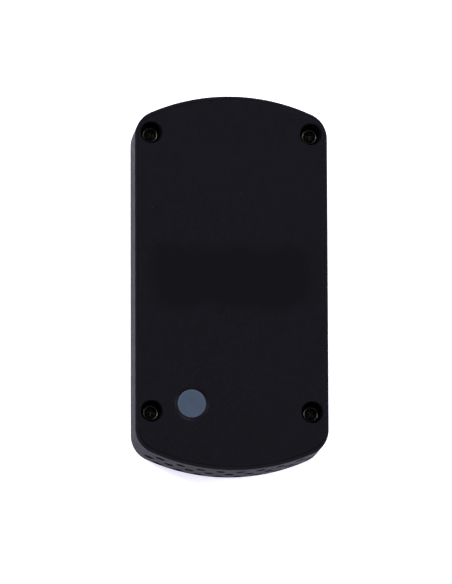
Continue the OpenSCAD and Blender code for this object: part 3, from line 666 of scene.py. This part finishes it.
# Strokes of the numerals and signs, about the middle of a key, as read from the front
INK_W = 0.55
LEFT, RIGHT, TOP = -1.0, 1.0, 1.7
NUMERALS = {
    1: [(0, -TOP, 0, TOP), (0, TOP, -0.7, TOP - 0.6)],
    2: [(LEFT, TOP, RIGHT, TOP), (RIGHT, TOP, RIGHT, 0), (RIGHT, 0, LEFT, 0), (LEFT, 0, LEFT, -TOP),
        (LEFT, -TOP, RIGHT, -TOP)],
    3: [(LEFT, TOP, RIGHT, TOP), (RIGHT, TOP, RIGHT, -TOP), (LEFT, 0, RIGHT, 0), (LEFT, -TOP, RIGHT, -TOP)],
    4: [(LEFT, TOP, LEFT, 0), (LEFT, 0, RIGHT, 0), (RIGHT, TOP, RIGHT, -TOP)],
    5: [(RIGHT, TOP, LEFT, TOP), (LEFT, TOP, LEFT, 0), (LEFT, 0, RIGHT, 0), (RIGHT, 0, RIGHT, -TOP),
        (RIGHT, -TOP, LEFT, -TOP)],
    6: [(RIGHT, TOP, LEFT, TOP), (LEFT, TOP, LEFT, -TOP), (LEFT, -TOP, RIGHT, -TOP), (RIGHT, -TOP, RIGHT, 0),
        (RIGHT, 0, LEFT, 0)],
}
MINUS = [(-1.3, 0, 1.3, 0)]
PLUS = MINUS + [(0, -1.3, 0, 1.3)]
POWER_RING_R, POWER_RING_FROM, POWER_RING_TO = 1.5, 130, 410


def keys():
    for number in range(1, 7):
        low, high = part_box("sound_key_%d" % number)
        x, y = (low.x + high.x) / 2 / MM, (low.y + high.y) / 2 / MM
        key("sound_key_%d" % number, x, y, M_KEY, [stroke(*line) for line in NUMERALS[number]], M_LEGEND)
    for name, lines in (("volume_down_key", MINUS), ("volume_up_key", PLUS)):
        low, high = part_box(name)
        x = (low.x + high.x) / 2 / MM
        key(name, x, KEY_Y[2], M_KEY_GREY, [stroke(*line) for line in lines], M_LEGEND)
    power_key()


def power_key():
    """Round key with its turned form and a power sign."""
    r = KEY_H / 2
    section = [(TINY, KEY_FACE_Z + 0.2), (r - 1.4, KEY_FACE_Z + 0.12), (r - 0.7, KEY_FACE_Z),
               (r - 0.25, KEY_FACE_Z + 0.1), (r, KEY_FACE_Z + 0.5), (r, FRONT_T), (r + FLANGE_W, FRONT_T),
               (r + FLANGE_W, FRONT_T + FLANGE_T), (STEM_R, FRONT_T + FLANGE_T), (STEM_R, STEM_Z),
               (TINY, STEM_Z)]
    out = Form().lathe(section, at=(0, KEY_Y[2], 0)).object("power_key_cap")
    piece(out, M_KEY_RED, "power_key", "power_key")
    ring = arc(0, 0, POWER_RING_R + INK_W / 2, POWER_RING_FROM, POWER_RING_TO, 28)
    ring += arc(0, 0, POWER_RING_R - INK_W / 2, POWER_RING_TO, POWER_RING_FROM, 28)
    mark("power_key", 0, KEY_Y[2], [ring, stroke(0, 0.4, 0, 1.9)], M_LEGEND_PALE)


def port_plug():
    """Rubber plug: a head that follows the curved end, with a softly rounded edge and a finger notch."""
    columns, rows = 72, 24
    radius, core, soft = PLUG_H / 2, (PLUG_W - PLUG_H) / 2, PLUG_EDGE_R
    front, back = [], []
    for i in range(columns + 1):
        x = -PLUG_W / 2 * math.cos(math.pi * i / columns) * 0.9995
        over = max(abs(x) - core, 0)
        reach = math.sqrt(max(radius ** 2 - over ** 2, 0.0001))
        for j in range(rows + 1):
            z = -reach * math.cos(math.pi * j / rows)
            edge = max(radius - math.hypot(over, z), 0)
            drop = soft - math.sqrt(max(soft ** 2 - (soft - min(edge, soft)) ** 2, 0))
            notch = 0.35 * math.exp(-((x / 3.2) ** 2 + ((z + 1.9) / 0.55) ** 2) ** 2)
            front.append((x, surface_y(x) - 0.03 - drop - notch, SOCKET_Z + z))
            back.append((x, PLUG_SEAT_Y, SOCKET_Z + z))
    form = Form()
    form.points = front + back
    step, size = rows + 1, len(front)

    def wall(a, b):
        """A face of the edge, between two neighbours on the front and the same two on the back."""
        form.faces.append((a, b, size + b, size + a))

    for i in range(columns):
        for j in range(rows):
            a = i * step + j
            b, c, d = a + 1, a + step + 1, a + step
            form.faces.append((a, b, c, d))
            form.faces.append((size + d, size + c, size + b, size + a))
    for i in range(columns):
        a, b = i * step, (i + 1) * step
        wall(a, b)
        wall(b + rows, a + rows)
    for j in range(rows):
        wall(j + 1, j)
        wall(columns * step + j, columns * step + j + 1)
    shank = round_rect(PORT_W - PLUG_CLEARANCE, PORT_H - PLUG_CLEARANCE, PLUG_SHANK_R, 10)
    form.prism(shank, 62.1, PLUG_SEAT_Y + 0.1, at=(0, 0, SOCKET_Z), axis="y")
    piece(form.object("port_plug_rubber"), M_RUBBER, "port_plug", "port_plug", angle=50)


def audio_jack():
    """Audio socket: a moulded body with a round barrel, bored through, and a plated ring in its mouth."""
    side, bore_end = 2.7, JACK_Y - 14
    body = [(-3.2, -side), (3.2, -side), (3.2, side), (-3.2, side)]
    out = Form().prism(body, JACK_Y - 15.6, JACK_Y - 2.6, at=JACK_AT, axis="y").object("audio_jack_body")
    barrel = [(TINY, JACK_Y - 3), (JACK_R, JACK_Y - 2.7), (JACK_R, JACK_Y - 0.2), (JACK_R - 0.15, JACK_Y),
              (JACK_MOUTH_R, JACK_Y), (TINY, JACK_Y)]
    carve(out, Form().lathe(barrel, at=JACK_AT, axis="y"), "UNION")
    bore = [(TINY, bore_end), (JACK_BORE_R, bore_end), (JACK_BORE_R, JACK_Y - 0.6), (1.9, JACK_Y - 0.3),
            (JACK_MOUTH_R, JACK_Y - 0.15), (JACK_MOUTH_R, JACK_Y + 0.5), (TINY, JACK_Y + 0.5)]
    carve(out, Form().lathe(bore, at=JACK_AT, axis="y"))
    piece(out, M_JACK, "housing", "audio_jack")
    ring = [(1.82, JACK_Y - 0.5), (2.33, JACK_Y - 0.13), (2.3, JACK_Y - 0.05), (2.2, JACK_Y),
            (1.95, JACK_Y - 0.02), (1.82, JACK_Y - 0.15)]
    plated = Form().lathe(ring, at=JACK_AT, axis="y", closed=True).object("audio_jack_ring")
    piece(plated, M_NICKEL, "housing")


# ---------------------------------------------------------------- carried-over CAD nodes

def carried_over():
    table = {
        woven("acoustic_mesh", (0.008, 0.008, 0.009), 0.5): ["grille_mesh", "end_mesh"],
        board("circuit_board_mask", 1.3): ["circuit_board", "button_board"],
        soft_paint("seal_foam", (0.03, 0.03, 0.03), 0.85, lift=0.00008):
            ["cover_gasket", "speaker_seal", "battery_pad"],
        soft_paint("chip_epoxy", (0.012, 0.012, 0.013), 0.5):
            ["processor_chip", "memory_chip", "amplifier_chip"],
        soft_paint("cone_paper", (0.02, 0.02, 0.02), 0.8, lift=0.00006): ["speaker_cone", "speaker_dust_cap"],
        soft_paint("surround_rubber", (0.01, 0.01, 0.01), 0.6): ["speaker_surround"],
        soft_paint("battery_wrap", (0.32, 0.36, 0.42), 0.4): ["battery_pack"],
        soft_paint("lens_plastic", (0.7, 0.75, 0.78), 0.12, Transmission_Weight=0.6): ["status_lens"],
        soft_paint("led_plastic", (0.75, 0.75, 0.6), 0.3): ["status_led", "button_led"],
        metal("magnet_plate", (0.3, 0.3, 0.31), 0.38): ["speaker_magnet", "speaker_frame"],
        metal("coil_copper", (0.6, 0.27, 0.13), 0.4, stretch=(1, 1, 8)): ["voice_coil"],
        M_STEEL: ["board_screws", "button_board_screws", "speaker_screws", "speaker_clips", "key_domes"],
        M_BRASS: ["threaded_inserts"],
        M_NICKEL: ["charge_socket", "button_switch"],
        metal("can_aluminium", (0.45, 0.46, 0.48), 0.35): ["board_capacitors"],
    }
    for material, nodes in table.items():
        for node in nodes:
            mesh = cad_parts[node].data
            mesh.materials.clear()
            mesh.materials.append(material)


# ---------------------------------------------------------------- floor, light and camera

# Where each soft lamp stands, in metres, with its width in metres and its power in watts
LAMPS = {
    "key": ((-0.9, 0.42, 1.0), 0.3, 13),
    "right": ((1.0, 0.0, 1.0), 0.3, 5),
    "glint": ((0.2, 0.3, 1.9), 0.15, 0.4),
    "top": ((0.65, 1.4, 0.8), 0.7, 17),
    "low": ((0.0, -1.7, 0.42), 0.8, 12),
    "side": ((1.7, 0.1, 0.42), 0.8, 9),
}
FLOOR_HALF = 2500
# The glow of the floor rises from the first strength near the object to the second, between these distances
GLOW_NEAR, GLOW_FAR, GLOW_FROM, GLOW_TO = 0.8, 1.2, 0.3, 1.5


def floor():
    """White floor, lit from below like a light table so that shadows stay faint."""
    half = FLOOR_HALF
    square = [(-half, -half), (half, -half), (half, half), (-half, half)]
    out = Form().prism(square, -20, -0.02).object("floor")
    p = Paint("floor_white", (0.93, 0.93, 0.93), 0.75, specular=0.2)
    p.color(p.mix(p.ramp(p.noise(3, 2), 0.3, 0.7), (0.92, 0.92, 0.92), (0.94, 0.94, 0.94)))
    p.shader.inputs["Emission Color"].default_value = (0.86, 0.82, 1.0, 1)
    away = p.math("MAXIMUM", p.math("ABSOLUTE", p.axis("X")), p.math("ABSOLUTE", p.axis("Y")))
    p.link(p.ramp(away, GLOW_FROM, GLOW_TO, GLOW_NEAR, GLOW_FAR), p.shader.inputs["Emission Strength"])
    out.data.materials.append(p.material)


def light():
    """A faint even world and soft lamps that all point at the object."""
    world = bpy.data.worlds.new("studio")
    world.use_nodes = True
    back = world.node_tree.nodes["Background"]
    back.inputs["Color"].default_value = (1, 1, 1, 1)
    back.inputs["Strength"].default_value = 0.12
    bpy.context.scene.world = world
    for name, (place, size, power) in LAMPS.items():
        data = bpy.data.lights.new(name, "AREA")
        data.shape, data.size, data.energy = "DISK", size, power
        lamp = bpy.data.objects.new(name, data)
        lamp.location = place
        lamp.rotation_euler = (-Vector(place)).to_track_quat("-Z", "Y").to_euler()
        bpy.context.scene.collection.objects.link(lamp)
    bpy.context.scene.view_settings.view_transform = "Standard"


# The picture's height and middle in pixels, and the pixel where the middle of the back stands
IMAGE_H, IMAGE_MIDDLE, BACK_MIDDLE = 584, (226, 292), (231.7, 282.3)
PX_PER_MM = 2.934
TILT_X, TILT_Y, ROLL, DISTANCE = 5.4, 9.0, -0.2, 2.07  # degrees, and metres


def camera():
    """Almost straight above the back, a little towards the bottom end and the left side."""
    back = Vector((0, 0, BODY_H * MM))
    towards = Vector((-math.tan(math.radians(TILT_X)), -math.tan(math.radians(TILT_Y)), 1)).normalized()
    level = Vector((0, 1, 0)).cross(towards).normalized()
    upright = towards.cross(level)
    roll = math.radians(ROLL)
    right = level * math.cos(roll) + upright * math.sin(roll)
    up = upright * math.cos(roll) - level * math.sin(roll)
    aim = (back + right * ((IMAGE_MIDDLE[0] - BACK_MIDDLE[0]) / PX_PER_MM * MM)
           + up * ((BACK_MIDDLE[1] - IMAGE_MIDDLE[1]) / PX_PER_MM * MM))
    data = bpy.data.cameras.new("camera")
    data.sensor_width = 36.0
    data.lens = PX_PER_MM * DISTANCE / MM * data.sensor_width / IMAGE_H
    data.clip_end = 50
    cam = bpy.data.objects.new("camera", data)
    cam.matrix_world = Matrix((right, up, towards)).transposed().to_4x4()
    cam.location = aim + towards * DISTANCE
    bpy.context.scene.collection.objects.link(cam)
    bpy.context.scene.camera = cam


camera()
floor()
light()
shell()
cover()
cover_screws()
back_button()
keys()
port_plug()
audio_jack()
carried_over()

bpy.context.view_layer.update()
